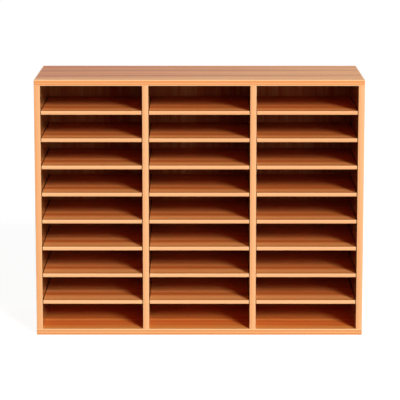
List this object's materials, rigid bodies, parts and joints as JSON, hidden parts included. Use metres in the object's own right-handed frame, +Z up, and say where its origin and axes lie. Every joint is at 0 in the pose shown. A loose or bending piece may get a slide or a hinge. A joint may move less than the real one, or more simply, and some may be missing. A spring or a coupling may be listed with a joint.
{
  "type": "literature organizer",
  "caption": "Free-standing wood-grain cabinet of open compartments for letter-size papers, with loose shelves that lie on pins and pull out at the front.",
  "frame": {"origin": "middle of the underside, where it stands on the desk", "axes": "+X to the right seen from the front, +Y to the back, so the open front faces -Y, and +Z up"},
  "size_m": [0.7592, 0.298, 0.5991],
  "materials": {
    "wood_grain_board": "satin",
    "wood_grain_shelf": "satin",
    "wood_grain_edge": "satin",
    "wood_grain_back": "satin",
    "bronzed_steel": "satin",
    "steel": "satin",
    "zinc": "satin",
    "cap_plastic": "satin",
    "dowel_wood": "matte"
  },
  "bodies": {
    "cabinet": {"top_board": "wood_grain_board", "bottom_board": "wood_grain_board", "left_side_board": "wood_grain_board", "left_divider_board": "wood_grain_board", "right_divider_board": "wood_grain_board", "right_side_board": "wood_grain_board", "top_edge_bands": "wood_grain_edge", "bottom_edge_bands": "wood_grain_edge", "left_side_edge_band": "wood_grain_edge", "left_divider_edge_band": "wood_grain_edge", "right_divider_edge_band": "wood_grain_edge", "right_side_edge_band": "wood_grain_edge", "back_panel": "wood_grain_back", "left_shelf_pins": "bronzed_steel", "centre_shelf_pins": "bronzed_steel", "right_shelf_pins": "bronzed_steel", "bolts": "steel", "back_screws": "steel", "cam_locks": "zinc", "cam_caps": "cap_plastic", "dowels": "dowel_wood"},
    "left_shelf_1": {"left_shelf_1": "wood_grain_shelf"},
    "left_shelf_2": {"left_shelf_2": "wood_grain_shelf"},
    "left_shelf_3": {"left_shelf_3": "wood_grain_shelf"},
    "left_shelf_4": {"left_shelf_4": "wood_grain_shelf"},
    "left_shelf_5": {"left_shelf_5": "wood_grain_shelf"},
    "left_shelf_6": {"left_shelf_6": "wood_grain_shelf"},
    "left_shelf_7": {"left_shelf_7": "wood_grain_shelf"},
    "left_shelf_8": {"left_shelf_8": "wood_grain_shelf"},
    "centre_shelf_1": {"centre_shelf_1": "wood_grain_shelf"},
    "centre_shelf_2": {"centre_shelf_2": "wood_grain_shelf"},
    "centre_shelf_3": {"centre_shelf_3": "wood_grain_shelf"},
    "centre_shelf_4": {"centre_shelf_4": "wood_grain_shelf"},
    "centre_shelf_5": {"centre_shelf_5": "wood_grain_shelf"},
    "centre_shelf_6": {"centre_shelf_6": "wood_grain_shelf"},
    "centre_shelf_7": {"centre_shelf_7": "wood_grain_shelf"},
    "centre_shelf_8": {"centre_shelf_8": "wood_grain_shelf"},
    "right_shelf_1": {"right_shelf_1": "wood_grain_shelf"},
    "right_shelf_2": {"right_shelf_2": "wood_grain_shelf"},
    "right_shelf_3": {"right_shelf_3": "wood_grain_shelf"},
    "right_shelf_4": {"right_shelf_4": "wood_grain_shelf"},
    "right_shelf_5": {"right_shelf_5": "wood_grain_shelf"},
    "right_shelf_6": {"right_shelf_6": "wood_grain_shelf"},
    "right_shelf_7": {"right_shelf_7": "wood_grain_shelf"},
    "right_shelf_8": {"right_shelf_8": "wood_grain_shelf"}
  },
  "joints": [
    {"name": "left_shelf_1_slide", "type": "slide", "parent": "cabinet", "child": "left_shelf_1", "axis": [0, -1, 0], "range_m": [0, 0.29]},
    {"name": "left_shelf_2_slide", "type": "slide", "parent": "cabinet", "child": "left_shelf_2", "axis": [0, -1, 0], "range_m": [0, 0.29]},
    {"name": "left_shelf_3_slide", "type": "slide", "parent": "cabinet", "child": "left_shelf_3", "axis": [0, -1, 0], "range_m": [0, 0.29]},
    {"name": "left_shelf_4_slide", "type": "slide", "parent": "cabinet", "child": "left_shelf_4", "axis": [0, -1, 0], "range_m": [0, 0.29]},
    {"name": "left_shelf_5_slide", "type": "slide", "parent": "cabinet", "child": "left_shelf_5", "axis": [0, -1, 0], "range_m": [0, 0.29]},
    {"name": "left_shelf_6_slide", "type": "slide", "parent": "cabinet", "child": "left_shelf_6", "axis": [0, -1, 0], "range_m": [0, 0.29]},
    {"name": "left_shelf_7_slide", "type": "slide", "parent": "cabinet", "child": "left_shelf_7", "axis": [0, -1, 0], "range_m": [0, 0.29]},
    {"name": "left_shelf_8_slide", "type": "slide", "parent": "cabinet", "child": "left_shelf_8", "axis": [0, -1, 0], "range_m": [0, 0.29]},
    {"name": "centre_shelf_1_slide", "type": "slide", "parent": "cabinet", "child": "centre_shelf_1", "axis": [0, -1, 0], "range_m": [0, 0.29]},
    {"name": "centre_shelf_2_slide", "type": "slide", "parent": "cabinet", "child": "centre_shelf_2", "axis": [0, -1, 0], "range_m": [0, 0.29]},
    {"name": "centre_shelf_3_slide", "type": "slide", "parent": "cabinet", "child": "centre_shelf_3", "axis": [0, -1, 0], "range_m": [0, 0.29]},
    {"name": "centre_shelf_4_slide", "type": "slide", "parent": "cabinet", "child": "centre_shelf_4", "axis": [0, -1, 0], "range_m": [0, 0.29]},
    {"name": "centre_shelf_5_slide", "type": "slide", "parent": "cabinet", "child": "centre_shelf_5", "axis": [0, -1, 0], "range_m": [0, 0.29]},
    {"name": "centre_shelf_6_slide", "type": "slide", "parent": "cabinet", "child": "centre_shelf_6", "axis": [0, -1, 0], "range_m": [0, 0.29]},
    {"name": "centre_shelf_7_slide", "type": "slide", "parent": "cabinet", "child": "centre_shelf_7", "axis": [0, -1, 0], "range_m": [0, 0.29]},
    {"name": "centre_shelf_8_slide", "type": "slide", "parent": "cabinet", "child": "centre_shelf_8", "axis": [0, -1, 0], "range_m": [0, 0.29]},
    {"name": "right_shelf_1_slide", "type": "slide", "parent": "cabinet", "child": "right_shelf_1", "axis": [0, -1, 0], "range_m": [0, 0.29]},
    {"name": "right_shelf_2_slide", "type": "slide", "parent": "cabinet", "child": "right_shelf_2", "axis": [0, -1, 0], "range_m": [0, 0.29]},
    {"name": "right_shelf_3_slide", "type": "slide", "parent": "cabinet", "child": "right_shelf_3", "axis": [0, -1, 0], "range_m": [0, 0.29]},
    {"name": "right_shelf_4_slide", "type": "slide", "parent": "cabinet", "child": "right_shelf_4", "axis": [0, -1, 0], "range_m": [0, 0.29]},
    {"name": "right_shelf_5_slide", "type": "slide", "parent": "cabinet", "child": "right_shelf_5", "axis": [0, -1, 0], "range_m": [0, 0.29]},
    {"name": "right_shelf_6_slide", "type": "slide", "parent": "cabinet", "child": "right_shelf_6", "axis": [0, -1, 0], "range_m": [0, 0.29]},
    {"name": "right_shelf_7_slide", "type": "slide", "parent": "cabinet", "child": "right_shelf_7", "axis": [0, -1, 0], "range_m": [0, 0.29]},
    {"name": "right_shelf_8_slide", "type": "slide", "parent": "cabinet", "child": "right_shelf_8", "axis": [0, -1, 0], "range_m": [0, 0.29]}
  ]
}
